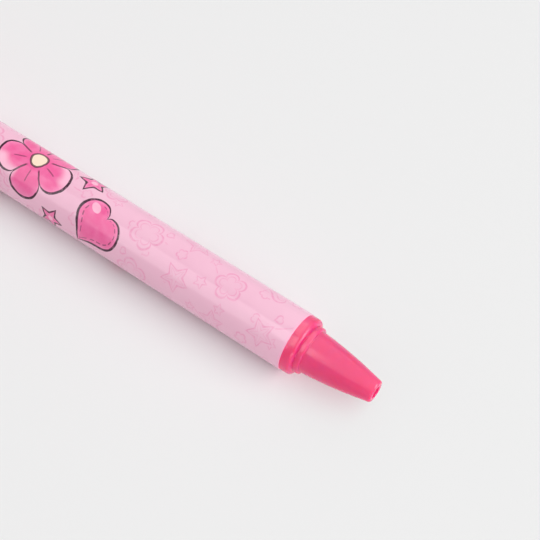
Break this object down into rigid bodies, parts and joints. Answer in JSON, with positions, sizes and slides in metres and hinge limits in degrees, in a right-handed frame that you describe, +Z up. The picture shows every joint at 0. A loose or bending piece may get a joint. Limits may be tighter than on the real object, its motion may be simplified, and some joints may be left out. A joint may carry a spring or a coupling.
{
  "type": "click ballpoint pen",
  "caption": "Slim click ballpoint pen with a printed pink barrel, a bright pink screw-on nose, a pocket clip, and a sprung push button that drives a refill through a cam.",
  "frame": {"origin": "middle of the pen's bounding box, on the surface it lies on", "axes": "+X along the pen towards the writing tip, +Z up towards the clip, +Y across the pen"},
  "size_m": [0.1414, 0.011, 0.0149],
  "materials": {
    "printed_plastic": "gloss, printed",
    "hot_pink_plastic": "gloss",
    "white_plastic": "moulded, satin",
    "clear_plastic": "translucent",
    "spring_steel": "drawn wire",
    "nib_metal": "turned, nickel plated",
    "ball_metal": "polished",
    "ink": "oily ink",
    "grease": "clear grease"
  },
  "bodies": {
    "barrel": {"barrel": "printed_plastic", "cam_sleeve": "white_plastic", "clip_cap": "hot_pink_plastic"},
    "push_button": {"push_button": "hot_pink_plastic", "plunger": "white_plastic"},
    "refill": {"refill_tube": "clear_plastic", "nib_holder": "white_plastic", "nib": "nib_metal", "ink_column": "ink", "ink_follower": "grease", "tail_plug": "white_plastic"},
    "rotor_cam": {"rotor_cam": "white_plastic"},
    "writing_ball": {"writing_ball": "ball_metal"},
    "pocket_clip": {"pocket_clip": "hot_pink_plastic"},
    "return_spring": {"return_spring": "spring_steel"},
    "nose_cone": {"nose_cone": "hot_pink_plastic"}
  },
  "joints": [
    {"name": "button_press", "type": "slide", "parent": "barrel", "child": "push_button", "axis": [1, 0, 0], "range_m": [0, 0.006], "stiffness_N_per_m": 120, "springref_m": -0.006, "deforming": ["return_spring"]},
    {"name": "refill_slide", "type": "slide", "parent": "barrel", "child": "refill", "axis": [1, 0, 0], "range_m": [0, 0.006]},
    {"name": "rotor_index", "type": "hinge", "parent": "refill", "child": "rotor_cam", "pos_m": [-0.03843, 0, 0.00547], "axis": [1, 0, 0], "range_deg": [0, 22]},
    {"name": "ball_roll", "type": "hinge", "parent": "refill", "child": "writing_ball", "pos_m": [0.06942, 0, 0.00547], "axis": [0, 1, 0], "continuous": true},
    {"name": "clip_flex", "type": "hinge", "parent": "barrel", "child": "pocket_clip", "pos_m": [-0.04847, 0, 0.01332], "axis": [0, -1, 0], "range_deg": [0, 4], "stiffness_Nm_per_rad": 0.05, "springref_deg": -2.86},
    {"name": "nose_unscrew", "type": "hinge", "parent": "return_spring", "child": "nose_cone", "pos_m": [0.05457, 0, 0.00547], "axis": [1, 0, 0], "range_deg": [0, 1440]},
    {"name": "nose_advance", "type": "slide", "parent": "barrel", "child": "return_spring", "axis": [1, 0, 0], "range_m": [0, 0.006]}
  ],
  "couplings": [
    {"joint": "refill_slide", "follows": "button_press", "ratio": 1},
    {"joint": "rotor_index", "follows": "button_press", "rad_per_m": 63.99},
    {"joint": "nose_unscrew", "follows": "nose_advance", "rad_per_m": 4188.8}
  ]
}
